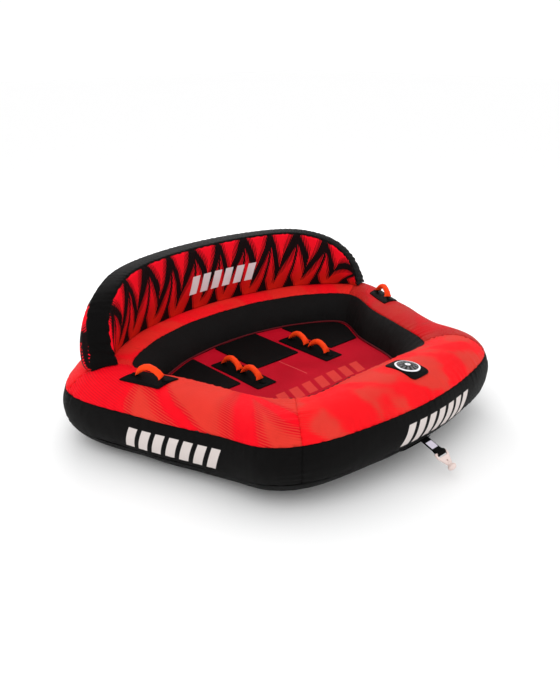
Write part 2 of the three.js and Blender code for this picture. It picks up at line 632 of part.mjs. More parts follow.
// ---------------------------------------------------------------- rear zip
function zip() {
  const { halfAngle, stand, thick } = ZIP_TAPE;
  const strip = (height) => [-1, 0, 1].map((side) => polar(TUBE_R + height, ZIP_ANGLE + side * halfAngle));
  const profile = [...strip(stand), ...strip(stand + thick).reverse()];
  const steps = ZIP_TO - ZIP_FROM;
  const place = (share, x, y) => tubePoint((ZIP_FROM + Math.round(share * steps)) / RING_STEPS, x, y);
  add('zip_tape', bar(profile, steps, place), webbing);
  const slider = slab(roundedRectangle(ZIP_SLIDER.width, ZIP_SLIDER.height, 3), ZIP_SLIDER.thick);
  add('zip_slider', slider, whiteNylon, tubeFrame(ZIP_START, ZIP_ANGLE, ZIP_SLIDER.stand));
  const top = ZIP_SLIDER.stand + ZIP_SLIDER.thick;
  const frame = tubeFrame(ZIP_START, ZIP_ANGLE, top + ZIP_PULL.thick);
  const along = new THREE.Vector3().setFromMatrixColumn(frame, 0);
  const out = along.clone().cross(new THREE.Vector3(0, 0, 1)).normalize();
  if (out.y < 0) out.negate();
  const hanging = new THREE.Matrix4().makeBasis(along, out.clone().cross(along), out);
  hanging.setPosition(new THREE.Vector3().setFromMatrixPosition(frame));
  const down = hanging.elements[6] > 0 ? -1 : 1;
  const pull = slab(roundedRectangle(ZIP_PULL.width, ZIP_PULL.length, 3), ZIP_PULL.thick);
  const drop = down * (ZIP_PULL.length / 2 - ZIP_PULL.eye);
  add('zip_pull', pull.translate(0, drop, 0), whiteNylon, hanging);
}

ringPieces();
bottomPanel();
floorPieces();
seatPieces();
handles();
backrest();
valves();
towing();
zip();

export default group;
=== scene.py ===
import math
import bpy
import numpy as np
from mathutils import Matrix, Vector


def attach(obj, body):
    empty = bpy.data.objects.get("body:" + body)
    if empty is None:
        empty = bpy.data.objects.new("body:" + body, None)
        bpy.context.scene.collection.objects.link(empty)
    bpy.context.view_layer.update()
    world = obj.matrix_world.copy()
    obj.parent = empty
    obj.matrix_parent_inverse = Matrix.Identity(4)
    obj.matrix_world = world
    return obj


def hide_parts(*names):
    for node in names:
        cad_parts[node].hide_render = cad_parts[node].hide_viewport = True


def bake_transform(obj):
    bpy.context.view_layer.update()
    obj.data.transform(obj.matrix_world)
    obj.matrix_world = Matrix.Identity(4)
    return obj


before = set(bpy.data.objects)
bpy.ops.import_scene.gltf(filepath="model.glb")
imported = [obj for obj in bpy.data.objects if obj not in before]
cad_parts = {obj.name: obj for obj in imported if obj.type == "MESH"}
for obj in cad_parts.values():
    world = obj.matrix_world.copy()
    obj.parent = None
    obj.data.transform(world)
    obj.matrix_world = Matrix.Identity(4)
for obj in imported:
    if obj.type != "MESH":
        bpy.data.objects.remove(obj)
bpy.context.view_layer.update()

# -------- the camera
CAMERA_AXES = [(0.7330, 0.2762, -0.6217), (-0.6802, 0.2942, -0.6713), (-0.0025, 0.9150, 0.4035)]
CAMERA_PLACE = (-2.2659, -2.3615, 1.7441)
camera = bpy.data.objects.new("camera", bpy.data.cameras.new("camera"))
bpy.context.scene.collection.objects.link(camera)
camera.data.lens = 36.48
camera.data.sensor_width = 36
camera.matrix_world = Matrix.Translation(CAMERA_PLACE) @ Matrix(CAMERA_AXES).to_4x4()
bpy.context.scene.camera = camera
bpy.context.scene.view_settings.view_transform = "Standard"

# -------- the part's own sizes, in metres and degrees
# Stations run round the ring from 0 at the nose, by the right, to 1. Angles run round the tube's section
# from 0 outward by 90 up. Laterals are outward from the tube's core.
TAU = 2 * math.pi
OUTER_KNOTS = np.array([
    (0, -860), (300, -835), (590, -760), (745, -625), (800, -370),
    (945, 0), (1045, 405), (800, 690), (420, 825), (0, 870)]) / 1000
INNER_KNOTS = np.array([
    (0, -408), (140, -412), (320, -440), (400, -370), (470, -250),
    (540, 0), (645, 245), (440, 390), (220, 455), (0, 475)]) / 1000
WELL_CENTRE = np.array((0, 0.020))
TUBE_R, WELL_SPAN = 0.190, 0.400
NOSE_RISE, ROCKER_START, ROCKER_END = 0.055, 0.250, 0.850
LOWER_SEAM, UPPER_SEAM, RIM_SEAM, FLOOR_EDGE = -30, 26, 122, 174
FRONT_SEAM, BACK_SEAM = 5 / 36, 12 / 36
FLOOR_TOP = 0.208
BACK_ARC, BACK_HALF_LENGTH, BACK_RISE = 62 / 360, 0.965, 0.333
BACK_LONG_POWER, BACK_HIGH_POWER = 5.5, 1.2
BACK_FRONT, BACK_THICK, BACK_CROWN, BACK_STAND = -0.026, 0.112, 0.016, 0.002
VALVE_STATION, VALVE_ANGLE = 0.012, 79
HANDLE_STATION, HANDLE_ANGLE = 0.289, 84.5
ARCH_HALF, ARCH_RISE, ARCH_POWER, ARCH_STAND = 0.060, 0.042, 1.25, 0.008
STRIP_X, STRIP_Y, FLOOR_HANDLE_Y = 0.235, 0.105, (0.188, 0.036)
SIDE_SEAT, SIDE_SEAT_INNER, SIDE_SEAT_FRONT = (0.430, 0.190), 0.314, 0.022
MIDDLE_SEAT_Y, MIDDLE_SEAT_HALF, MIDDLE_SEAT_FRONT = 0.270, 0.148, 0.098
SEAT_REACH = -0.207
SEAM_SLANT = 0.013
CLOTH_THICK, SEAM_WIDTH = 0.0035, 0.0045
PIPING_LATERAL, PIPING_RADIUS = -0.1955, 0.0038
BADGE_RADIUS = 0.049
ZIP_SPAN, ZIP_ANGLES = (16 / 36, 20 / 36), (6, 18)


def loop(knots):
    """The closed outline: the knots of the right half, and their mirror images."""
    return np.vstack([knots, knots[1:-1][::-1] * (-1, 1)])


OUTER_LOOP, INNER_LOOP = loop(OUTER_KNOTS), loop(INNER_KNOTS)


def along(points, station):
    """The closed Catmull-Rom curve through the points, at stations from 0 to 1."""
    n = len(points)
    x = np.mod(station, 1) * n
    i = np.floor(x).astype(int)
    f = (x - i)[..., None]
    p0, p1, p2, p3 = (points[(i + k) % n] for k in (-1, 0, 1, 2))
    v0, v1 = (p2 - p0) / 2, (p3 - p1) / 2
    return (2 * p1 - 2 * p2 + v0 + v1) * f**3 + (-3 * p1 + 3 * p2 - 2 * v0 - v1) * f**2 + v0 * f + p1


def smoothstep(x, low, high):
    t = np.clip((x - low) / (high - low), 0, 1)
    return t * t * (3 - 2 * t)


def tube_point(station, lateral, height):
    """Station 0 is the nose and 0.5 the back; lateral is outward from the tube's core; height is above it."""
    station, lateral, height = np.broadcast_arrays(*map(np.asarray, (station, lateral, height)))
    outer, inner = along(OUTER_LOOP, station), along(INNER_LOOP, station)
    share = ((lateral / TUBE_R + 1) / 2)[..., None]
    reach = (1 + (lateral + TUBE_R) / WELL_SPAN)[..., None]
    flat = np.where(share >= 0, inner + (outer - inner) * share, WELL_CENTRE + (inner - WELL_CENTRE) * reach)
    z = TUBE_R + height + NOSE_RISE * smoothstep(-flat[..., 1], ROCKER_START, ROCKER_END)
    return np.concatenate([flat, z[..., None]], axis=-1)


def polar(radius, degrees):
    """The (lateral, height) of a point on the tube's section."""
    angle = np.radians(degrees)
    return radius * np.cos(angle), radius * np.sin(angle)


def on_tube(station, degrees):
    """Sets x along the tube, y inward over its crest and a height off its surface down in space."""
    step = np.linalg.norm(tube_point(station + 0.005, 0, 0) - tube_point(station - 0.005, 0, 0)) / 0.01

    def place(x, y, height):
        lateral, up = polar(TUBE_R + height, degrees + np.degrees(y / TUBE_R))
        return tube_point(station + x / step, lateral, up)
    return place


def tube_frame(station, degrees, height):
    """A frame on the tube's surface: x along the tube, z out of it."""
    place = on_tube(station, degrees)
    origin = place(0, 0, height)
    x = place(0.001, 0, height) - place(-0.001, 0, height)
    x /= np.linalg.norm(x)
    z = np.cross(x, place(0, 0.001, height) - place(0, -0.001, height))
    z /= np.linalg.norm(z)
    if z @ (place(0, 0, height + 0.001) - origin) < 0:
        z = -z
    m = Matrix(np.column_stack([x, np.cross(z, x), z]).tolist()).to_4x4()
    return Matrix.Translation(origin.tolist()) @ m


def swell(points, wavelength, seed):
    """Smooth noise in space, about -1 to 1: a sum of plane waves."""
    draw, waves = np.random.default_rng(seed), 10
    total = np.zeros(points.shape[:-1])
    for _ in range(waves):
        way = draw.normal(size=3)
        way *= TAU / (wavelength * draw.uniform(0.7, 1.6) * np.linalg.norm(way))
        total += np.sin(points @ way + draw.uniform(0, TAU))
    return total / math.sqrt(waves)


def pleats(u, wavelength, seed):
    """Uneven gathers along a seam, about -1 to 1."""
    draw, waves = np.random.default_rng(seed), 7
    total = np.zeros(np.shape(u))
    for _ in range(waves):
        total += np.sin(TAU * u / (wavelength * draw.uniform(0.6, 1.8)) + draw.uniform(0, TAU))
    return total / math.sqrt(waves)


# -------- meshes
def volume(verts, quads):
    """Six times the signed volume inside the quads."""
    a, b, c, d = (verts[quads[:, k]] for k in range(4))
    return np.sum(np.cross(a, b) * c) + np.sum(np.cross(a, c) * d)


def linked(name, data):
    """A new object in the scene."""
    o = bpy.data.objects.new(name, data)
    bpy.context.scene.collection.objects.link(o)
    return o


def mesh_object(name, verts, quads, uvs, material, fans=()):
    """A mesh from quads with a UV for each of their corners. Fans are rings of vertices closed by one face."""
    verts, quads, uvs = np.asarray(verts, float), np.asarray(quads, int), np.asarray(uvs, float)
    flip = volume(verts, quads) < 0
    if flip:
        quads, uvs = quads[:, ::-1], uvs[:, ::-1]
    loops = [quads.ravel()] + [np.asarray(f[::-1] if flip else f) for f in fans]
    sizes = [4] * len(quads) + [len(f) for f in fans]
    starts = np.concatenate([[0], np.cumsum(sizes)[:-1]])
    me = bpy.data.meshes.new(name)
    me.vertices.add(len(verts))
    me.vertices.foreach_set("co", verts.ravel())
    all_loops = np.concatenate(loops)
    me.loops.add(len(all_loops))
    me.loops.foreach_set("vertex_index", all_loops.astype(np.int32))
    me.polygons.add(len(sizes))
    me.polygons.foreach_set("loop_start", starts.astype(np.int32))
    me.polygons.foreach_set("use_smooth", np.ones(len(sizes), bool))
    layer = me.uv_layers.new(name="cloth")
    flat = np.vstack([uvs.reshape(-1, 2)] + [verts[f][:, :2] for f in loops[1:]])
    layer.data.foreach_set("uv", flat.astype(np.float32).ravel())
    me.update(calc_edges=True)
    me.validate()
    me.materials.append(material)
    return linked(name, me)


def quad_grid(index):
    """The quads between neighbours in a grid of vertex numbers."""
    return np.stack([index[:-1, :-1], index[1:, :-1], index[1:, 1:], index[:-1, 1:]], -1).reshape(-1, 4)


def uv_grid(u, v):
    """The UVs of quad_grid's corners, from a grid of u and of v."""
    uv = np.stack([u, v], -1)
    return np.stack([uv[:-1, :-1], uv[1:, :-1], uv[1:, 1:], uv[:-1, 1:]], 2).reshape(-1, 4, 2)


def shell(name, outer, inner, u, v, material, wrap=False):
    """A closed sheet between two grids of points. With wrap, its first axis runs all the way round."""
    nu, nv = outer.shape[:2]
    index = np.arange(nu * nv).reshape(nu, nv)
    if wrap:
        index = np.vstack([index, index[:1]])
    top, under = index, index + nu * nv
    quads, uvs = [quad_grid(top), quad_grid(under)[:, ::-1]], [uv_grid(u, v), uv_grid(u, v)[:, ::-1]]
    rims = [(top[:, 0], under[:, 0], u[:, 0], v[:, 0]), (under[:, -1], top[:, -1], u[:, -1], v[:, -1])]
    if not wrap:
        rims += [(under[0], top[0], u[0], v[0]), (top[-1], under[-1], u[-1], v[-1])]
    for a, b, uu, vv in rims:
        quads.append(quad_grid(np.stack([a, b], 1))[:, ::-1])
        uvs.append(uv_grid(np.stack([uu, uu], 1), np.stack([vv, vv], 1))[:, ::-1])
    verts = np.vstack([outer.reshape(-1, 3), inner.reshape(-1, 3)])
    return mesh_object(name, verts, np.vstack(quads), np.vstack(uvs), material)


def lofted(name, rings, material):
    """A closed body through rings of points, with flat ends."""
    n, m = rings.shape[:2]
    index = np.arange(n * m).reshape(n, m)
    index = np.hstack([index, index[:, :1]])
    u = np.repeat(lengths(rings.mean(1), 0)[:, None], m + 1, 1)
    closed = np.concatenate([rings, rings[:, :1]], 1)
    v = np.repeat(lengths(closed, 1).mean(0)[None], n, 0)
    ends = [index[0, :-1], index[-1, :-1][::-1]]
    return mesh_object(name, rings.reshape(-1, 3), quad_grid(index), uv_grid(u, v), material, fans=ends)


def stands_for(o, node, body="tube"):
    """The piece rides on a body and replaces a CAD node, which is hidden."""
    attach(o, body)
    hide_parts(node)


def circle(radius, count, x=0, y=0):
    """Points of a circle round (x, y)."""
    angle = np.linspace(0, TAU, count, endpoint=False)
    return np.stack([x + radius * np.cos(angle), y + radius * np.sin(angle)], 1)


def placed(points, matrix):
    """A grid of points moved by a matrix."""
    return points @ np.array(matrix.to_3x3()).T + np.array(matrix.translation)


def spread(count, pull):
    """0 to 1, closer together towards both ends."""
    x = np.linspace(0, 1, count)
    return x - pull * np.sin(TAU * x)


def normals_of(points, wrap=False):
    """Unit normals of a grid of points. With wrap, its first axis runs all the way round."""
    if wrap:
        ring = np.concatenate([points[-1:], points, points[:1]])
        du = (ring[2:] - ring[:-2]) / 2
    else:
        du = np.gradient(points, axis=0)
    n = np.cross(du, np.gradient(points, axis=1))
    return n / (np.linalg.norm(n, axis=-1, keepdims=True) + 1e-12)


def lengths(points, axis):
    """The distance run from the start of the grid, along one of its axes."""
    step = np.linalg.norm(np.diff(points, axis=axis), axis=-1)
    start = np.zeros_like(np.take(step, [0], axis=axis))
    return np.concatenate([start, np.cumsum(step, axis=axis)], axis=axis)


def tuck(distance, depth, width):
    """How far cloth is pulled down at a distance from its seam."""
    return -depth * np.exp(-(distance / width) ** 2)


# -------- materials
def method(operation, swapped=False):
    """A method of Value that adds a math node."""
    if swapped:
        return lambda self, other: self.graph.math(operation, other, self)
    return lambda self, other=0.0: self.graph.math(operation, self, other)


class Value:
    """A number in a node tree, with arithmetic."""
    __add__, __radd__ = method("ADD"), method("ADD", swapped=True)
    __sub__, __rsub__ = method("SUBTRACT"), method("SUBTRACT", swapped=True)
    __mul__, __truediv__, __pow__ = method("MULTIPLY"), method("DIVIDE"), method("POWER")
    __abs__, sin, fract = method("ABSOLUTE"), method("SINE"), method("FRACT")
    low, high = method("MINIMUM"), method("MAXIMUM")

    def __init__(self, graph, socket):
        self.graph, self.socket = graph, socket


class Graph:
    """A material's node tree. u and v come from the UV layer: metres along the cloth, but on the backrest's
    faces v is a share of their height."""

    def __init__(self, name, roughness, specular=0.5):
        self.material = bpy.data.materials.new(name)
        self.material.use_nodes = True
        self.nodes, self.links = self.material.node_tree.nodes, self.material.node_tree.links
        self.nodes.clear()
        out = self.nodes.new("ShaderNodeOutputMaterial")
        self.shader = self.nodes.new("ShaderNodeBsdfPrincipled")
        self.links.new(self.shader.outputs[0], out.inputs["Surface"])
        self.shader.inputs["Roughness"].default_value = roughness
        self.shader.inputs["Specular IOR Level"].default_value = specular
        self.last_normal = None
        uv = self.nodes.new("ShaderNodeUVMap")
        uv.uv_map = "cloth"
        parts = self.nodes.new("ShaderNodeSeparateXYZ")
        self.links.new(uv.outputs[0], parts.inputs[0])
        self.u, self.v = Value(self, parts.outputs[0]), Value(self, parts.outputs[1])
        self.place = self.nodes.new("ShaderNodeTexCoord").outputs["Object"]

    def put(self, socket, value):
        if isinstance(value, Value):
            value = value.socket
        if isinstance(value, bpy.types.NodeSocket):
            self.links.new(value, socket)
        else:
            socket.default_value = value

    def math(self, operation, a, b=0.0):
        node = self.nodes.new("ShaderNodeMath")
        node.operation = operation
        self.put(node.inputs[0], a)
        self.put(node.inputs[1], b)
        return Value(self, node.outputs[0])

    def step(self, value, low, high):
        """0 below low, 1 above high, and smooth between them."""
        node = self.nodes.new("ShaderNodeMapRange")
        node.interpolation_type = "SMOOTHSTEP"
        for socket, x in zip(node.inputs, (value, low, high, 0.0, 1.0)):
            self.put(socket, x)
        return Value(self, node.outputs[0])

    def noise(self, scale, detail):
        node = self.nodes.new("ShaderNodeTexNoise")
        node.inputs["Scale"].default_value = scale
        node.inputs["Detail"].default_value = detail
        self.links.new(self.place, node.inputs["Vector"])
        return Value(self, node.outputs[0])

    def mix(self, share, a, b):
        """The colour a share of the way from a to b."""
        node = self.nodes.new("ShaderNodeMix")
        node.data_type = "RGBA"
        self.put(node.inputs[0], share)
        self.put(node.inputs[6], a)
        self.put(node.inputs[7], b)
        return node.outputs[2]

    def bump(self, height, distance, strength=1.0):
        """Adds a bump on top of those before it."""
        node = self.nodes.new("ShaderNodeBump")
        node.inputs["Distance"].default_value = distance
        node.inputs["Strength"].default_value = strength
        self.put(node.inputs["Height"], height)
        if self.last_normal is not None:
            self.links.new(self.last_normal, node.inputs["Normal"])
        self.last_normal = node.outputs[0]
        self.links.new(self.last_normal, self.shader.inputs["Normal"])

    def colour(self, value):
        self.put(self.shader.inputs["Base Color"], value)

    def roughness(self, value):
        self.put(self.shader.inputs["Roughness"], value)

    def weave(self, period=0.0011):
        """The threads of a cloth, and its slow unevenness."""
        turn = TAU / period
        self.bump((self.u * turn).sin() * (self.v * turn).sin(), 0.00025)
        self.bump(self.noise(45, 4), 0.0018, 0.5)


def rgb(text):
    """A colour as it looks on screen, for a shader."""
    values = [int(text[i:i + 2], 16) / 255 for i in (0, 2, 4)]
    return (*[x / 12.92 if x <= 0.04045 else ((x + 0.055) / 1.055) ** 2.4 for x in values], 1)


def tinted(g, colour, amount, scale=9):
    """Slow colour variation over a cloth, darker and lighter."""
    cloud = g.noise(scale, 3)
    return g.mix((cloud - 0.35) * amount * 4, colour, (0, 0, 0, 1))


def bars(g, u, v, middle, bottom, height, count, pitch, lean=0.35):
    """A mask of a generic row of slanted bars."""
    x = (u - middle) - (v - bottom) * lean + count * pitch / 2
    cell = (x / pitch).fract()
    in_row = g.step(x, 0, 0.001) * (1 - g.step(x, count * pitch - 0.001, count * pitch))
    stripe = g.step(cell, 0.06, 0.09) * (1 - g.step(cell, 0.72, 0.75))
    top = bottom + height
    return in_row * stripe * g.step(v, bottom, bottom + 0.002) * (1 - g.step(v, top - 0.002, top))


def red_cover(name, coral, bright, dark, hatch, blotch, ends=None):
    """Two reds in a row of flames that fork from the well's rim, their edges broken into fine slanting lines.
    Hatch is the lines' strength. Blotch is how far loose patches take the flames' place. Ends are where the
    flames give way to plain red near the two ends of the cloth."""
    g = Graph(name, roughness=0.55, specular=0.05)
    rim, fade, apex, period = 0.31, 0.09, 0.19, 0.58
    arms = ((0.28, 0.055), (1.33, 0.050))
    down = rim - g.v
    drift = (g.noise(6, 2) - 0.5) * 0.06
    x = g.u - apex + drift
    depth, struck = x * 0, 0.0
    for lean, width in arms:
        across = (((x - down * lean) / period + 0.5).fract() - 0.5) * period
        size = down * 0.12 + width
        depth = depth.high(1 - across.high(0.0) / size + across.low(0.0) / (size * 1.9))
    if ends:
        rear = 1 - g.step(g.u + drift * 2 - down * 0.15, ends[0], ends[0] + fade)
        nose = g.step(g.u + drift * 2, ends[1] - fade, ends[1])
        depth = depth.high(rear * 0.95).high(nose * 0.95)
        struck = rear.high(nose) * 0.35
    cloud = g.step(g.noise(5.5, 2), 0.36, 0.64)
    depth = depth * (1 - blotch) + cloud * blotch
    line_pitch = 0.0105
    lines = ((g.u * 0.32 + g.v * 0.95) * (TAU / line_pitch)).sin() * 0.5
    edge = (1 - abs(depth * 2.2 - 0.9)).high(0.0)
    level, soft = 0.39, 0.11 + 0.13 * (1 - hatch)
    mask = g.step(depth + lines * hatch * edge, level - soft, level + soft)
    colour = g.mix(mask, rgb(coral), rgb(bright))
    colour = g.mix((edge * 0.6).high(struck) * (lines + 0.5) * hatch, colour, rgb(dark))
    g.colour(tinted(g, colour, 0.05))
    g.weave()
    return g.material


def black_cloth(name, colour="0D0C0C", roughness=0.55, specular=0.045, marks=None, period=0.0011):
    """Woven black cloth, with a row of printed bars where marks gives one."""
    g = Graph(name, roughness=roughness, specular=specular)
    base = tinted(g, rgb(colour), 0.10)
    if marks:
        base = g.mix(bars(g, g.u, g.v, **marks), base, rgb("DCD2CE"))
    g.colour(base)
    g.weave(period)
    return g.material


COVER_LEFT = red_cover("cover_red_left", "E83A2E", "FC0A1E", "B40A1C", hatch=1.0, blotch=0.0, ends=(0.20, 1.16))
COVER_FRONT = red_cover("cover_red_front", "E43A30", "FC141E", "C00E1E", hatch=0.12, blotch=0.5)
# The right cover's print is the cloth's own, but its three reds are darker than the other covers': painted shade
# for the side that faces away from the key light.
COVER_RIGHT_SHADED = red_cover("cover_red_right_painted_shade", "C02822", "CE0E16", "98081A", hatch=0.5, blotch=0.4)
COVER_BACK = red_cover("cover_red_back", "EC2A24", "F8121E", "C80C1C", hatch=0.3, blotch=0.5)
MARKS = dict(bottom=0.030, height=0.105, count=7, pitch=0.068)
BAND = black_cloth("band_black")
BAND_LEFT = black_cloth("band_black_left", marks=dict(MARKS, middle=0.60))
BAND_FRONT = black_cloth("band_black_front", marks=dict(MARKS, middle=0.713))
GUSSET = black_cloth("gusset_black", specular=0.03)
UNDERSIDE = black_cloth("underside_black", "0A0A0A")
NEOPRENE = black_cloth("neoprene_black", "0A0909", roughness=0.6, specular=0.05, period=0.0022)
# The wall's black is lighter than the other black cloths: its own black with a painted sheen added into the colour.
WALL_BLACK_AND_SHEEN = black_cloth("wall_black_painted_sheen", "151414", roughness=0.6, specular=0.05, period=0.0022)
WEBBING = black_cloth("webbing_black", "070707", roughness=0.7, specular=0.06, period=0.0016)


def backrest_print(name, marks=None):
    """Red petals between curved dark lines, with broken V shapes hanging from the top edge."""
    g = Graph(name, roughness=0.55, specular=0.05)
    start, pitch, line_pitch = 0.030, 0.172, 0.0088
    height = g.v
    fall = 1 - height
    wander = (g.noise(7, 2) - 0.5) * 0.12
    whole = (g.u - start) / pitch - fall * fall * 0.62 + fall * 0.12 + wander
    cell = whole.fract()
    odd = g.step(abs((whole * 0.5).fract() - 0.5), 0.24, 0.26)
    middle = abs(cell - 0.5) * 2
    apex = 0.74 - odd * 0.22
    hatch = ((g.u * 0.98 - height * 0.05) * (TAU / line_pitch)).sin() * 0.5
    off = middle - (1 - fall / apex)
    arm = 0.46 + odd * 0.16 + (1 - cell) * 0.30 - fall * 0.18
    vee = (1 - abs(off - 0.04) / arm).high(0.0) * (1 - g.step(fall, 0.80, 0.95))
    rib = (1 - (1 - middle) / (fall * 0.12 + 0.13)).high(0.0)
    foot = g.step(cell * 1.05 + fall * fall * 0.85, 1.40, 1.62)
    dark = vee.high(rib).high(foot)
    edge = (1 - abs(dark * 2 - 0.75)).high(0.0)
    mask = g.step(dark + hatch * edge * 1.1 + (g.noise(30, 2) - 0.5) * 0.15, 0.30, 0.52)
    red = g.mix(g.step(height, 0.0, 0.75), rgb("B41210"), rgb("FA0A24"))
    petal = g.mix((1 - middle) * 0.5 * fall, red, rgb("EA2C18"))
    colour = g.mix(mask, petal, rgb("14080A"))
    if marks:
        colour = g.mix(bars(g, g.u, height * BACK_RISE, **marks), colour, rgb("E6DADC"))
    g.colour(tinted(g, colour, 0.05))
    g.weave()
    return g.material


BACKREST_MARKS = dict(middle=0.905, bottom=0.090, height=0.100, count=6, pitch=0.078, lean=-0.35)
BACKREST_PRINT = backrest_print("backrest_print", BACKREST_MARKS)
BACKREST_REAR_PRINT = backrest_print("backrest_rear_print")


def floor_print():
    """Dark red in faint zigzags, with a seam down the middle and a row of bars near the nose."""
    g = Graph("floor_print", roughness=0.6, specular=0.05)
    x, y = g.u, g.v
    zig = ((y * 2.1 + abs(x) * 1.2 + (g.noise(3, 2) - 0.5) * 0.6) * 1.4).fract()
    red = g.mix(g.step(zig, 0.0, 0.5) * (1 - g.step(zig, 0.5, 1.0)) * 0.6, rgb("B60820"), rgb("C81028"))
    seam = (1 - g.step(abs(x), 0.0012, 0.0026)) * g.step(y, -0.114, -0.112) * (1 - g.step(y, 0.092, 0.094))
    red = g.mix(seam * 0.8, red, rgb("E8605C"))
    marks = bars(g, x + 0.02, y, middle=0.0, bottom=-0.275, height=0.10, count=7, pitch=0.085, lean=0.4)
    g.colour(tinted(g, g.mix(marks * 0.6, red, rgb("EC4C40")), 0.05))
    g.weave()
    return g.material


FLOOR_PRINT = floor_print()


def plain(name, colour, roughness, grain, distance=0.0003, tint=0.08, **shader):
    """Foam, moulded plastic or coated cloth: one colour with grain, slow tints and uneven wear."""
    g = Graph(name, roughness=roughness, **shader)
    g.colour(tinted(g, rgb(colour), tint, 30))
    g.bump(g.noise(grain, 3), distance, 0.6)
    worn = g.noise(60, 4)
    g.roughness(roughness - 0.08 + worn * 0.16)
    return g.material


PIPING = plain("piping_red", "5E0814", 0.5, grain=700, specular=0.15)
FOAM = plain("foam_orange", "F8420A", 0.7, grain=900, distance=0.0008, specular=0.15)
NYLON = plain("nylon_white", "DCC8C2", 0.42, grain=260, distance=0.0002, tint=0.03)
VINYL = plain("vinyl_grey", "1E2022", 0.4, grain=120, distance=0.0004, specular=0.3)
VALVE_PLASTIC = plain("valve_plastic", "1B1C1E", 0.38, grain=500, distance=0.0002)
LABEL = plain("label_white", "D4CEDC", 0.7, grain=700, specular=0.2)


# -------- the ring's covers
def ring_grid(st0, st1, a0, a1, nu, nv, radius=TUBE_R, wrap=False, slant=(0, 0)):
    """Points on the tube and their normals. Slant moves the two ends along, more the further from the rim."""
    angle = a0 + (a1 - a0) * spread(nv, 0.1)
    station = np.linspace(st0, st1, nu, endpoint=False) if wrap else st0 + (st1 - st0) * spread(nu, 0.06)
    share = (station - st0) / (st1 - st0)
    lean = np.clip((RIM_SEAM - angle) / (RIM_SEAM - UPPER_SEAM), 0, 1)
    station = station[:, None] + SEAM_SLANT * lean[None] * (slant[0] * (1 - share) + slant[1] * share)[:, None]
    lateral, height = polar(radius, angle)
    points = tube_point(station, lateral[None], height[None])
    core = tube_point(station, 0 * lateral[None], 0 * height[None])
    n = normals_of(points, wrap)
    if np.sum(n * (points - core)) < 0:
        n = -n
    return points, n


def panel(name, node, span, angles, size, material, seed, slant, gathers):
    """One cover cloth: tight over the tube, tucked into its seams, lightly puckered beside them."""
    points, n = ring_grid(*span, *angles, *size, slant=slant)
    u, v = lengths(points, 0), lengths(points, 1)
    u, v = u.mean(1, keepdims=True) + 0 * u, v.mean(0, keepdims=True) + 0 * v
    du, dv = np.minimum(u, u[-1:] - u), np.minimum(v, v[:, -1:] - v)
    lift = tuck(dv, 0.0034, SEAM_WIDTH) + tuck(du, 0.0034, SEAM_WIDTH)
    lift += gathers * pleats(u, 0.034, seed) * np.exp(-dv / 0.038)
    lift += gathers * 1.2 * pleats(v, 0.024, seed + 1) * np.exp(-du / 0.045)
    lift += 0.0016 * swell(points, 0.30, seed + 2) + 0.0005 * swell(points, 0.09, seed + 3)
    outer, inner = points + n * lift[..., None], points + n * (lift - CLOTH_THICK)[..., None]
    stands_for(shell(name, outer, inner, u, v, material), node)


def ring_covers():
    """Four red top cloths and four black band cloths. The seams of the top cloths slant towards the nose."""
    spans = {
        "front": (-FRONT_SEAM, FRONT_SEAM, COVER_FRONT, BAND_FRONT, (1, -1)),
        "right": (FRONT_SEAM, BACK_SEAM, COVER_RIGHT_SHADED, BAND, (-1, 0)),
        "back": (BACK_SEAM, 1 - BACK_SEAM, COVER_BACK, BAND, (0, 0)),
        "left": (1 - BACK_SEAM, 1 - FRONT_SEAM, COVER_LEFT, BAND_LEFT, (0, 1))}
    for i, (side, (start, end, top, band, slant)) in enumerate(spans.items()):
        count = int((end - start) * 800)
        panel(f"top_cloth_{side}", f"cover_top_{side}", (start, end), (UPPER_SEAM, RIM_SEAM), (count, 70),
              top, 10 * i + 1, slant, gathers=0.0020)
        panel(f"band_cloth_{side}", f"side_band_{side}", (start, end), (LOWER_SEAM, UPPER_SEAM), (count, 40),
              band, 10 * i + 5, slant, gathers=0.0011)


def well_wall():
    points, n = ring_grid(0, 1, RIM_SEAM, FLOOR_EDGE, 760, 34, wrap=True)
    v = np.repeat(lengths(points, 1).mean(0)[None], len(points) + 1, 0)
    closed = np.concatenate([points, points[:1]])
    u = np.repeat(lengths(closed, 0).mean(1)[:, None], points.shape[1], 1)
    dv = np.minimum(v, v[:, -1:] - v)[:-1]
    lift = tuck(v[:-1], 0.003, SEAM_WIDTH) + 0.0012 * pleats(u[:-1], 0.05, 77) * np.exp(-dv / 0.05)
    lift += 0.0022 * swell(points, 0.22, 78) + 0.0008 * swell(points, 0.07, 79)
    outer, inner = points + n * lift[..., None], points + n * (lift - CLOTH_THICK)[..., None]
    stands_for(shell("well_wall_cloth", outer, inner, u, v, WALL_BLACK_AND_SHEEN, wrap=True), "well_wall")


def disc_piece(name, node, rows, material, thick, lift):
    """A cloth over the well and, where its rows say so, round the bilge. Rows are (lateral, height)."""
    count = 720
    station = np.linspace(0, 1, count, endpoint=False)
    rows = np.array(rows)
    points = tube_point(station[:, None], rows[None, :, 0], rows[None, :, 1])
    n = normals_of(points, True)
    if n[:, -1, 2].mean() * thick < 0:
        n = -n
    points = points + n * lift(points)[..., None]
    inner = points - n * abs(thick)
    index = np.arange(count * len(rows)).reshape(count, -1)
    index = np.vstack([index, index[:1]])
    under = index + count * len(rows)
    u, v = (np.vstack([points[..., k], points[:1, :, k]]) for k in (0, 1))
    quads = [quad_grid(index), quad_grid(under)[:, ::-1], quad_grid(np.stack([under[:, 0], index[:, 0]], 1))]
    uvs = [uv_grid(u, v), uv_grid(u, v)[:, ::-1], uv_grid(u[:, :2], v[:, :2])]
    verts = np.vstack([points.reshape(-1, 3), inner.reshape(-1, 3)])
    fans = [index[:-1, -1], under[:-1, -1][::-1]]
    stands_for(mesh_object(name, verts, np.vstack(quads), np.vstack(uvs), material, fans=fans), node)


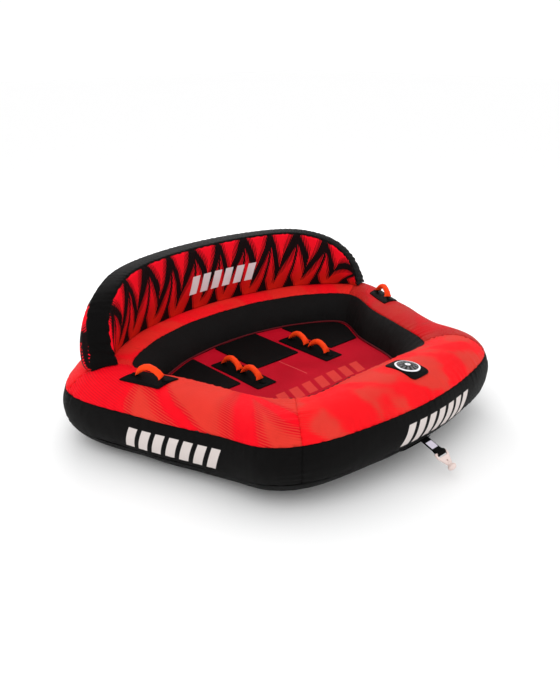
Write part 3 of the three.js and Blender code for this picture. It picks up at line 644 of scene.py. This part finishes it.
def underside():
    """One cloth from the lower seam round the bilge and flat across the bottom."""
    angles = 330 - 60 * spread(26, 0.08)
    bilge = list(zip(*polar(TUBE_R, angles)))
    flat = [(lateral, -TUBE_R) for lateral in np.linspace(-0.03, -0.565, 30)]

    def lift(points):
        edge = np.clip(points[..., 2] / 0.03, 0, 1)
        return -0.001 * (1 + 0.7 * swell(points, 0.25, 41)).clip(0) * edge
    disc_piece("underside_cloth", "bottom_panel", bilge + flat, UNDERSIDE, -0.003, lift)


def floor():
    rows = [(lateral, FLOOR_TOP - TUBE_R) for lateral in -0.1915 - 0.3735 * spread(60, 0.03)]

    def lift(points):
        rim = np.linspace(0, 1, points.shape[1])[None]
        return 0.0012 * swell(points, 0.25, 51) - 0.004 * np.exp(-(rim / 0.02) ** 2)
    disc_piece("floor_cloth", "floor_panel", rows, FLOOR_PRINT, 0.004, lift)


def ring_tube(name, node, middle, radius, size, material, length):
    """A closed tube round the ring, at a (lateral, height). Size is its points along and around. Length is how
    long it counts as in its UVs."""
    along_it, around = size
    station = np.linspace(0, 1, along_it, endpoint=False)
    lateral, height = np.transpose(circle(radius, around, *middle))
    points = tube_point(station[:, None], lateral[None], height[None])
    index = np.arange(along_it * around).reshape(size)
    index = np.vstack([index, index[:1]])
    index = np.hstack([index, index[:, :1]])
    u = np.repeat(np.linspace(0, length, along_it + 1)[:, None], around + 1, 1)
    v = np.repeat(np.linspace(0, TAU * radius, around + 1)[None], along_it + 1, 0)
    stands_for(mesh_object(name, points.reshape(-1, 3), quad_grid(index), uv_grid(u, v), material), node)


def ring_tubes():
    """The piping in the corner round the floor, and the ring's air bladder close inside its covers."""
    middle, clearance = (PIPING_LATERAL, FLOOR_TOP + 0.0045 - TUBE_R), 0.0075
    ring_tube("floor_piping_cord", "floor_piping", middle, PIPING_RADIUS, (720, 12), PIPING, 3.6)
    ring_tube("ring_bladder", "main_bladder", (0, 0), TUBE_R - clearance, (360, 48), VINYL, 5.2)


# -------- pads
def block(half_x, half_y, corner):
    """The reach of a rounded rectangle: how far its edge is, in a direction from its middle."""
    cx, cy = half_x - corner, half_y - corner

    def reach(angle):
        c, s = np.abs(np.cos(angle)), np.abs(np.sin(angle))
        flat = np.minimum(half_x / np.maximum(c, 1e-9), half_y / np.maximum(s, 1e-9))
        b = c * cx + s * cy
        round_reach = b + np.sqrt(np.maximum(b * b - cx * cx - cy * cy + corner * corner, 0))
        return np.where((flat * c > cx) & (flat * s > cy), round_reach, flat)
    return reach


def beside_wall(cx, cy, low_x, high_x, front):
    """The reach of a patch that runs back and out to the well's wall, with eased corners."""
    sharpness = 40
    wall = tube_point(np.linspace(0, 1, 1440, endpoint=False), SEAT_REACH, 0)[:, :2] - (cx, cy)
    heading = np.arctan2(wall[:, 1], wall[:, 0])
    order = np.argsort(heading)
    heading, far = heading[order], np.linalg.norm(wall, axis=1)[order]

    def reach(angle):
        c, s = np.cos(angle), np.sin(angle)
        limits = [np.interp(angle, heading, far, period=TAU), (cy - front) / np.maximum(-s, 1e-3),
                  (high_x - cx) / np.maximum(c, 1e-3), (cx - low_x) / np.maximum(-c, 1e-3)]
        return sum(limit ** -sharpness for limit in limits) ** (-1 / sharpness)
    return reach


def pad(name, node, reach, thick, place, material, body="tube", puff=0.0, groove=0.008,
        stand=0.0, around=120, dome=None):
    """A padded patch with a rounded edge and a sewn line just inside it, at a distance of groove from the edge."""
    near_edge = 0.8 + 0.2 * np.sin(np.linspace(0.1, 1, 14) * math.pi / 2)
    shares = np.concatenate([np.linspace(0.04, 0.8, 20), near_edge])
    angle = np.linspace(0, TAU, around, endpoint=False)
    reach = reach(angle)
    x, y = shares[:, None] * (reach * np.cos(angle))[None], shares[:, None] * (reach * np.sin(angle))[None]
    slope = (np.roll(reach, -1) - np.roll(reach, 1)) / (2 * TAU / around)
    edge = (1 - shares[:, None]) * (reach ** 2 / np.sqrt(reach ** 2 + slope ** 2))[None]
    seam = np.exp(-((edge - groove) / 0.0018) ** 2)
    top = stand + thick * np.clip(1 - (1 - edge / 0.0035).clip(0, 1) ** 2, 0, 1) ** 0.5 - seam * thick * 0.45
    top = top + puff * (1 - np.exp(-np.maximum(edge - groove, 0) / 0.02))
    top = top + 0.0005 * swell(np.stack([x, y, 0 * x], -1), 0.09, 5) * (edge > groove)
    rise = 0 * x if dome is None else dome(x, y)
    top, bottom = top + rise, stand + rise
    upper, lower = place(x, y, np.maximum(top, bottom + 0.0004)), place(x, y, bottom)
    n = len(shares)
    verts = np.concatenate([lower, upper[::-1]]).reshape(-1, 3)
    index = np.arange(2 * n * around).reshape(2 * n, around)
    index = np.hstack([index, index[:, :1]])
    xx, yy = np.concatenate([x, x[::-1]]), np.concatenate([y, y[::-1]])
    xx, yy = np.hstack([xx, xx[:, :1]]), np.hstack([yy, yy[:, :1]])
    fans = [index[0, :-1], index[-1, :-1][::-1]]
    o = mesh_object(name, verts, quad_grid(index), uv_grid(xx, yy), material, fans=fans)
    stands_for(o, node, body)


def flat_place(cx, cy, z):
    """Puts a pad's points on a level plane."""
    def place(x, y, height):
        return np.stack([cx + x, cy + y, z + height], -1)
    return place


def pads():
    """The seats, the patches under the handles and the tow strap's anchor patch."""
    z, beyond_wall = FLOOR_TOP + 0.0006, 0.9
    for side, sign in (("left", -1), ("right", 1)):
        low, high = sorted((sign * SIDE_SEAT_INNER, sign * beyond_wall))
        cx, cy = sign * SIDE_SEAT[0], SIDE_SEAT[1]
        pad(f"seat_neoprene_{side}", f"seat_pad_{side}", beside_wall(cx, cy, low, high, SIDE_SEAT_FRONT), 0.006,
            flat_place(cx, cy, z), NEOPRENE, puff=0.002, around=280)
        pad(f"strip_cloth_{side}", f"handle_strip_{side}", block(0.060, 0.185, 0.005), 0.005,
            flat_place(sign * STRIP_X, STRIP_Y, z), WEBBING, groove=0.006)
        pad(f"tube_pad_cloth_{side}", f"tube_handle_pad_{side}", block(0.100, 0.0525, 0.006), 0.005,
            on_tube(sign * HANDLE_STATION, HANDLE_ANGLE), NEOPRENE, stand=0.0015)
    reach = beside_wall(0, MIDDLE_SEAT_Y, -MIDDLE_SEAT_HALF, MIDDLE_SEAT_HALF, MIDDLE_SEAT_FRONT)
    pad("seat_neoprene_middle", "seat_pad_middle", reach, 0.006,
        flat_place(0, MIDDLE_SEAT_Y, z), NEOPRENE, puff=0.002, around=280)
    pad("anchor_patch_cloth", "tow_anchor_patch", block(0.065, 0.040, 0.010), 0.003,
        on_tube(0, LOWER_SEAM - 20), WEBBING, stand=0.0015)


# -------- handles
def sweep(path, across, section):
    """Rings of a section set square to a path. The section is a function of the path's share, in
    (across, normal)."""
    way = np.gradient(path, axis=0)
    way /= np.linalg.norm(way, axis=1, keepdims=True)
    side = np.asarray(across, float)
    normal = np.cross(way, side)
    normal /= np.linalg.norm(normal, axis=1, keepdims=True)
    length = lengths(path, 0)
    rings = []
    for p, nrm, share in zip(path, normal, length / length[-1]):
        profile = np.asarray(section(share))
        rings.append(p + profile[:, :1] * side + profile[:, 1:] * nrm)
    return np.array(rings)


def arch(degrees):
    """The middle line of a handle, in its own frame."""
    angle = np.radians(degrees)
    x = ARCH_HALF * np.sign(np.cos(angle)) * np.abs(np.cos(angle)) ** ARCH_POWER
    return np.stack([x, 0 * angle, ARCH_RISE * np.sin(angle) ** ARCH_POWER], 1)


def handle(name, matrix, seed):
    """A foam grip on its body, which has the handle's name, and webbing that blends from the tube to it."""
    angle = np.linspace(0, TAU, 36, endpoint=False)

    def foam(share):
        """Round in the middle, pressed flat and spread where the webbing leaves it, with soft folds inside."""
        end = abs(2 * share - 1)
        flat = end ** 4
        wide, high = 0.0152 + 0.0068 * flat, 0.0148 - 0.0103 * flat
        fold = 1 + 0.07 * end ** 2 * np.sin(5 * angle + seed) + 0.03 * math.sin(share * 41 + seed)
        inner = np.clip(-np.sin(angle), 0, 1) ** 2
        crease = 1 - 0.16 * inner * (0.5 + 0.5 * math.sin(share * 70 + seed)) * (1 - flat)
        lip = 1 - 0.25 * math.exp(-((1 - end) / 0.012) ** 2)
        return np.stack([wide * fold * np.cos(angle), high * fold * crease * lip * np.sin(angle)], 1)
    rings = placed(sweep(arch(175 - 170 * spread(72, 0.10)), (0, 1, 0), foam), matrix)
    stands_for(lofted(f"{name}_foam", rings, FOAM), f"{name}_grip", name)

    base = 0.0008 - ARCH_STAND
    tail = np.array([(-0.094, 0, base), (-0.084, 0, base), (-0.074, 0, base), (-0.067, 0, base + 0.001),
                     (-0.0625, 0, base + 0.004)])
    path = np.vstack([tail, arch(np.linspace(172, 8, 60)), tail[::-1] * (-1, 1, 1)])
    half_w, half_t = 0.0105, 0.0011
    lower = [(half_w, -half_t * 0.4), (half_w * 0.97, -half_t), (-half_w * 0.97, -half_t), (-half_w, -half_t * 0.4)]
    strap = lower + [(w, -t) for w, t in reversed(lower)]
    o = lofted(f"{name}_strap", placed(sweep(path, (0, 1, 0), lambda share: strap), matrix), WEBBING)
    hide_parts(f"{name}_webbing")
    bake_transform(o)


def handles():
    turn = Matrix.Rotation(math.pi / 2, 4, "Z")
    for sign, side in ((-1, "left"), (1, "right")):
        for i, y in enumerate(FLOOR_HANDLE_Y, 1):
            matrix = Matrix.Translation((sign * STRIP_X, y, FLOOR_TOP + 0.0066 + ARCH_STAND)) @ turn
            handle(f"floor_handle_{side}_{i}", matrix, seed=i + sign)
        matrix = tube_frame(sign * HANDLE_STATION, HANDLE_ANGLE, 0.008 + ARCH_STAND)
        handle(f"tube_handle_{side}", matrix, seed=sign)


# -------- backrest
def back_rise(length):
    """The backrest's height at a length along it from its middle."""
    share = np.clip(np.abs(length) / BACK_HALF_LENGTH, 0, 1)
    return BACK_RISE * (1 - share ** BACK_LONG_POWER) ** (1 / BACK_HIGH_POWER)


def back_point(length, depth, height):
    """A point of the backrest: along it, back from its front face and up from the ring."""
    station = 0.5 + length / BACK_HALF_LENGTH * BACK_ARC
    half = np.linalg.norm(along(OUTER_LOOP, station) - along(INNER_LOOP, station), axis=-1) / 2
    lateral = BACK_FRONT + depth * TUBE_R / half
    dip = TUBE_R - np.sqrt(TUBE_R ** 2 - lateral ** 2)
    return tube_point(station, lateral, TUBE_R + BACK_STAND + height - dip * (1 - height / BACK_RISE))


def back_face(name, node, depth, sign, seed, material, belly):
    """A crowned face, tight at its seams. Belly is how far it swells beyond them near its two ends."""
    nu, nv = 300, 64
    side = np.sin((spread(nu, 0.02) - 0.5) * math.pi) * 0.995
    length = (side * BACK_HALF_LENGTH)[:, None] + np.zeros((1, nv))
    share = spread(nv, 0.09)[None] + np.zeros((nu, 1))
    rise = np.maximum(back_rise(length), 0.008)
    crown = BACK_CROWN * 4 * share * (1 - share) * rise / BACK_RISE
    from_top = rise * (1 - share)
    along_edge = lengths(back_point(length, np.full_like(share, depth), rise * share), 0)
    pucker = 0.0011 * pleats(along_edge, 0.035, seed) * np.exp(-from_top / 0.035)
    tilt = 0.0006 * pleats(along_edge + share * 0.05, 0.05, seed + 1)
    edge = np.minimum(from_top, BACK_HALF_LENGTH * (1 - np.abs(side))[:, None] * 1.2)
    inset = -tuck(edge, 0.0045, 0.006)
    calm = 1 - smoothstep(np.abs(side), 0.90, 0.97)[:, None]
    ends = smoothstep(np.abs(side), 0.60, 0.93)[:, None] * smoothstep(share, 0.0, 0.22)
    puff = belly * ends * np.sqrt(np.clip(edge / 0.07, 0, 1)) * smoothstep(edge, 0.004, 0.02)
    offset = sign * (crown - inset + puff) + sign * (pucker + tilt) * calm
    foot, below_edge = 0.0015, 0.0045
    height = foot + share * (rise - foot - below_edge)
    outer = back_point(length, depth + offset, height)
    inner = back_point(length, depth + offset - sign * CLOTH_THICK, height)
    u = lengths(back_point(length, np.full_like(share, depth), np.full_like(share, 0.1)), 0)
    stands_for(shell(name, outer, inner, u, share, material), node)


def back_gusset():
    """The black strip between the backrest's two faces, over its top and down both ends."""
    nu, nv = 520, 36
    share = spread(nu, 0.03)
    length = np.sin((share - 0.5) * math.pi) * BACK_HALF_LENGTH
    height = back_rise(length)
    outline = np.stack([length, height], 1)
    fine = np.gradient(outline, axis=0)
    fine /= np.linalg.norm(fine, axis=1, keepdims=True)
    out = np.stack([-fine[:, 1], fine[:, 0]], 1)
    across = spread(nv, 0.08)[None] + np.zeros((nu, 1))
    flare = 0.009 * smoothstep(np.abs(length), 0.925, 0.965)[:, None]
    depth = CLOTH_THICK - flare + across * (BACK_THICK - 2 * CLOTH_THICK + 2 * flare)
    run = lengths(outline, 0)[:, None]
    from_edge = np.minimum(across, 1 - across) * BACK_THICK
    bulge = 0.0050 * (4 * across * (1 - across)) ** 0.6 + tuck(from_edge, 0.0045, 0.005)
    bulge = bulge + 0.0011 * pleats(run + 0 * across, 0.03, 91) * np.exp(-from_edge / 0.025)
    bend = smoothstep(np.abs(length), 0.72, 0.95)[:, None]
    bulge = bulge + 0.0022 * bend * pleats(run + across * 0.03, 0.045, 92)

    def at(offset):
        x = length[:, None] + out[:, :1] * offset
        z = height[:, None] + out[:, 1:] * offset
        return back_point(np.clip(x, -0.985, 0.985), depth, np.maximum(z, 0.004))
    o = shell("backrest_gusset_cloth", at(bulge), at(bulge - CLOTH_THICK), np.repeat(run, nv, 1),
              across * BACK_THICK, GUSSET)
    stands_for(o, "backrest_gusset")


def backrest():
    back_face("backrest_front_cloth", "backrest_front_panel", 0.0, -1, 61, BACKREST_PRINT, belly=0)
    back_face("backrest_back_cloth", "backrest_back_panel", BACK_THICK, 1, 71, BACKREST_REAR_PRINT, belly=0.026)
    back_gusset()


# -------- valve cover
def valve_badge_material():
    """Rings and a spoked middle, black on white."""
    g = Graph("valve_badge_print", roughness=0.5, specular=0.2)
    r = (g.u * g.u + g.v * g.v) ** 0.5 / BADGE_RADIUS
    turn = g.math("ARCTAN2", g.v, g.u)
    ring = g.step(r, 0.80, 0.82) * (1 - g.step(r, 0.95, 0.97))
    fine = g.step(((r * 9).fract() - 0.5) * ((turn * 12).sin() * 0.5 + 0.5), 0.12, 0.2)
    fine = fine * g.step(r, 0.4, 0.42) * (1 - g.step(r, 0.78, 0.8))
    middle = 1 - g.step(r, 0.20, 0.23)
    white = ring.high(middle).high(fine * 0.45)
    g.colour(g.mix(white, rgb("151517"), rgb("E8E6EA")))
    g.bump(white + g.noise(400, 2) * 0.2, 0.0008)
    return g.material


def valve_cover():
    """The flap over the valve, domed in its middle, and the round badge on it."""
    place, half_x, half_y = on_tube(VALVE_STATION, VALVE_ANGLE), 0.052, 0.073

    def dome(x, y):
        share = (np.abs(x / half_x) ** 4 + np.abs(y / half_y) ** 4) ** 0.25
        return 0.009 * (1 - np.minimum(share, 1) ** 2) ** 1.5
    pad("valve_cover_cloth", "valve_flap", block(half_x, half_y, 0.022), 0.004, place, NEOPRENE,
        body="valve_cover", stand=0.0016, dome=dome, groove=0.007)
    pad("valve_badge_rubber", "valve_badge", block(BADGE_RADIUS, BADGE_RADIUS, BADGE_RADIUS), 0.0022, place,
        valve_badge_material(), body="valve_cover", stand=0.0058, dome=dome, groove=-1)


# -------- towing
def outline_solid(name, splines, half_depth, bevel, material, matrix):
    """A flat outline with holes, given thickness and a rounded edge. Splines are lists of (x, y)."""
    curve = bpy.data.curves.new(name, "CURVE")
    curve.dimensions, curve.fill_mode = "2D", "BOTH"
    curve.extrude, curve.bevel_depth, curve.bevel_resolution = half_depth - bevel, bevel, 3
    curve.offset = -bevel
    for points in splines:
        s = curve.splines.new("POLY")
        s.points.add(len(points) - 1)
        for p, (x, y) in zip(s.points, points):
            p.co = (x, y, 0, 1)
        s.use_cyclic_u = True
    o = linked(name, curve)
    bpy.context.view_layer.update()
    me = bpy.data.meshes.new_from_object(o.evaluated_get(bpy.context.evaluated_depsgraph_get()))
    bpy.data.objects.remove(o)
    me.transform(matrix)
    me.materials.clear()
    me.materials.append(material)
    layer = me.uv_layers.get("cloth") or me.uv_layers.new(name="cloth")
    inverse = matrix.inverted()
    for item in me.loops:
        p = inverse @ me.vertices[item.vertex_index].co
        layer.data[item.index].uv = (p.z, p.x) if abs(p.z) < half_depth - bevel * 0.5 else (p.y, p.x)
    return linked(name, me)


def rounded(corners, radius, steps=6):
    """A polygon with its corners rounded."""
    corners = [np.array(c, float) for c in corners]
    points = []
    for i, p in enumerate(corners):
        a, b = corners[i - 1] - p, corners[(i + 1) % len(corners)] - p
        a, b = a / np.linalg.norm(a), b / np.linalg.norm(b)
        for t in np.linspace(0, 1, steps):
            points.append(tuple(p + a * radius * (1 - t) ** 2 + b * radius * t ** 2))
    return points


def tow_matrix(droop, origin):
    """A frame whose y runs forward and down, by a number of degrees."""
    return Matrix.Translation(origin) @ Matrix.Rotation(math.pi + math.radians(droop), 4, "X")


def tow_strap():
    """Webbing that ends in a loop round the connector's bar, with a small label. Returns the bar's frame."""
    start = tube_point(0, *polar(TUBE_R + 0.0025, LOWER_SEAM))
    frame_matrix = tow_matrix(19, start.tolist())
    root, length, half, outer, inner = -0.0012, 0.094, 0.0025, 0.0125, 0.0082
    neck = math.pi - math.asin(half / outer) - 0.25
    side = [(root, -half), (0.045, -half * 0.9), (0.072, -half * 1.1)]
    side += [(length + outer * math.cos(t), outer * math.sin(t)) for t in np.linspace(-neck, neck, 40)]
    side += [(0.072, half * 1.1), (0.045, half * 0.9), (root, half)]
    upright = Matrix(((0, 0, 1, 0), (1, 0, 0, 0), (0, 1, 0, 0), (0, 0, 0, 1)))
    o = outline_solid("tow_strap_webbing", [side, circle(inner, 36, x=length)], 0.025, 0.0008, WEBBING,
                      frame_matrix @ upright)
    stands_for(o, "tow_strap", "tow_strap_body")
    label_matrix = frame_matrix @ Matrix.Translation((0, 0.044, -half - 0.0002))
    pad("strap_label_cloth", "strap_label", block(0.020, 0.020, 0.002), 0.0012,
        lambda x, y, height: placed(np.stack([x, y, -height], -1), label_matrix), LABEL,
        body="tow_strap_body", groove=0.002)
    return tow_matrix(32, frame_matrix @ Vector((0, length, 0)))


def quick_connector(matrix):
    """A flat plate with a slot for the strap and a hole, and a turned knob at its end."""
    outline = rounded([(-0.036, -0.005), (0.036, -0.005), (0.038, 0.016), (0.019, 0.050), (0.014, 0.062),
                       (-0.014, 0.062), (-0.019, 0.050), (-0.038, 0.016)], 0.005)
    slot = rounded([(-0.029, 0.005), (-0.029, 0.014), (-0.024, 0.019),
                    (0.024, 0.019), (0.029, 0.014), (0.029, 0.005)], 0.002)
    hole = circle(0.0045, 20, y=0.043)
    plate = outline_solid("connector_nylon", [outline, slot, hole], 0.005, 0.0018, NYLON, matrix)
    stands_for(plate, "quick_connector", "connector_body")
    knob = [(0.0004, 0.054), (0.008, 0.0545), (0.0102, 0.057), (0.0105, 0.062), (0.0125, 0.0655),
            (0.0175, 0.0685), (0.0198, 0.0725), (0.0200, 0.0765), (0.0185, 0.081), (0.0145, 0.0858),
            (0.0085, 0.0888), (0.0004, 0.0900)]
    angle = np.linspace(0, TAU, 36, endpoint=False)
    r, y = np.array(knob).T
    fine = np.linspace(0, len(r) - 1, 45)
    r, y = np.interp(fine, range(len(r)), r), np.interp(fine, range(len(y)), y)
    rings = np.stack([r[:, None] * np.cos(angle), y[:, None] + 0 * angle, r[:, None] * np.sin(angle)], -1)
    o = lofted("connector_knob", placed(rings, matrix), NYLON)
    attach(o, "connector_body")


# -------- rear zip
def zip_tape():
    """The zip's tape across the back, with a toothed ridge along its middle."""
    points, n = ring_grid(*ZIP_SPAN, *ZIP_ANGLES, 560, 15, radius=TUBE_R + 0.001)
    u, v = lengths(points, 0), lengths(points, 1)
    mid = v[:, -1:] / 2
    ridge = np.exp(-((v - mid) / 0.003) ** 2)
    lift = 0.0012 + 0.0016 * ridge + 0.0005 * ridge * np.sign(np.sin(TAU * u / 0.004))
    o = shell("zip_tape_cloth", points + n * lift[..., None], points - n * 0.0003, u, v, WEBBING)
    stands_for(o, "zip_tape")


# -------- CAD nodes that stay
def dress(material, *names):
    """Gives CAD nodes a material."""
    for name in names:
        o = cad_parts[name]
        o.data.materials.clear()
        o.data.materials.append(material)


# -------- studio
def studio():
    """A pale floor, a white surround and three soft lights."""
    bpy.ops.mesh.primitive_plane_add(size=60, location=(0, 0, -0.0006))
    ground = bpy.context.object
    ground.name = "studio_floor"
    g = Graph("studio_floor", roughness=0.9, specular=0.1)
    g.colour((0.95, 0.95, 0.95, 1))
    ground.data.materials.append(g.material)
    world = bpy.data.worlds.new("studio")
    bpy.context.scene.world = world
    world.use_nodes = True
    background = world.node_tree.nodes["Background"]
    background.inputs["Color"].default_value = (1, 1, 1, 1)
    background.inputs["Strength"].default_value = 1.05

    def area(name, place, target, size, power):
        light = bpy.data.lights.new(name, "AREA")
        light.shape, light.size, light.size_y, light.energy = "RECTANGLE", *size, power
        o = linked(name, light)
        o.location = place
        o.rotation_euler = (Vector(target) - Vector(place)).to_track_quat("-Z", "Y").to_euler()
    area("key", (-2.4, -1.6, 3.4), (0, 0, 0.2), (2.6, 2.6), 34)
    area("fill", (2.6, -2.6, 2.2), (0, 0, 0.3), (3.0, 2.0), 8)
    area("back", (1.6, 3.4, 2.4), (0, 0.6, 0.4), (3.2, 1.6), 60)


ring_covers()
well_wall()
underside()
floor()
ring_tubes()
pads()
handles()
backrest()
valve_cover()
quick_connector(tow_strap())
zip_tape()
dress(VINYL, "floor_bladder", "backrest_bladder")
dress(VALVE_PLASTIC, "floor_valve", "main_valve_base", "main_valve_cap", "backrest_valve_base",
      "backrest_valve_cap")
dress(NYLON, "zip_slider", "zip_pull")
studio()
